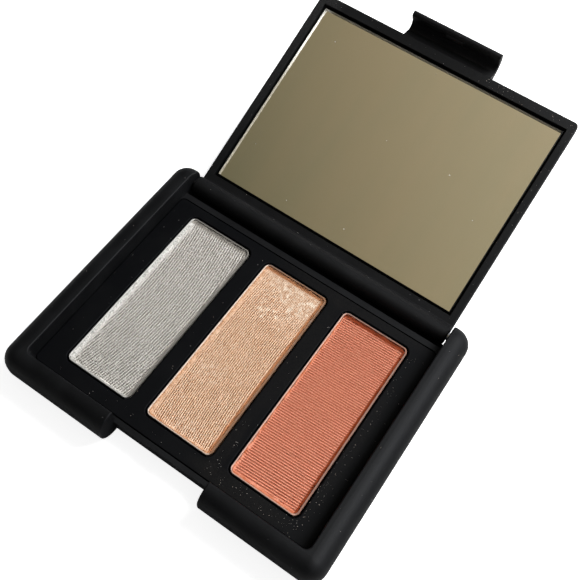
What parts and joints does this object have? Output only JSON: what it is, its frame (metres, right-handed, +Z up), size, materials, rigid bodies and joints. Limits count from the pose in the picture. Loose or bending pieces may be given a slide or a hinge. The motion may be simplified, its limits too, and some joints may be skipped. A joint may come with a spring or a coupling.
{
  "type": "eyeshadow palette",
  "caption": "Slim black eyeshadow compact with round edges, long pressed-powder pans in a row, and a hinged mirror lid whose hooked tab closes into a thumb notch.",
  "frame": {"origin": "middle of the flat underside of the base", "axes": "+X along the hinge to the right as the user sees it, +Y from the thumb notch to the hinge, +Z up"},
  "size_m": [0.0706, 0.1046, 0.0268],
  "materials": {
    "case_plastic": "satin black",
    "tray_plastic": "satin black",
    "lid_plastic": "satin black",
    "pan_metal": "plain drawn sheet",
    "silver_powder": "shimmer pressed powder",
    "gold_powder": "shimmer pressed powder",
    "coral_powder": "matte pressed powder",
    "pan_glue": "soft glue",
    "mirror_glass": "polished",
    "mirror_tape": "foam tape",
    "hinge_pin": "drawn rod"
  },
  "bodies": {
    "base": {"base_shell": "case_plastic", "pan_tray": "tray_plastic", "silver_pan": "pan_metal", "silver_powder": "silver_powder", "silver_pan_glue": "pan_glue", "gold_pan": "pan_metal", "gold_powder": "gold_powder", "gold_pan_glue": "pan_glue", "coral_pan": "pan_metal", "coral_powder": "coral_powder", "coral_pan_glue": "pan_glue", "left_hinge_pin": "hinge_pin", "right_hinge_pin": "hinge_pin"},
    "lid": {"lid_shell": "lid_plastic", "mirror_glass": "mirror_glass", "mirror_tape": "mirror_tape"}
  },
  "joints": [
    {"name": "lid_hinge", "type": "hinge", "parent": "base", "child": "lid", "pos_m": [0, 0.0261, 0.004], "axis": [1, 0, 0], "range_deg": [0, 156.9]}
  ]
}
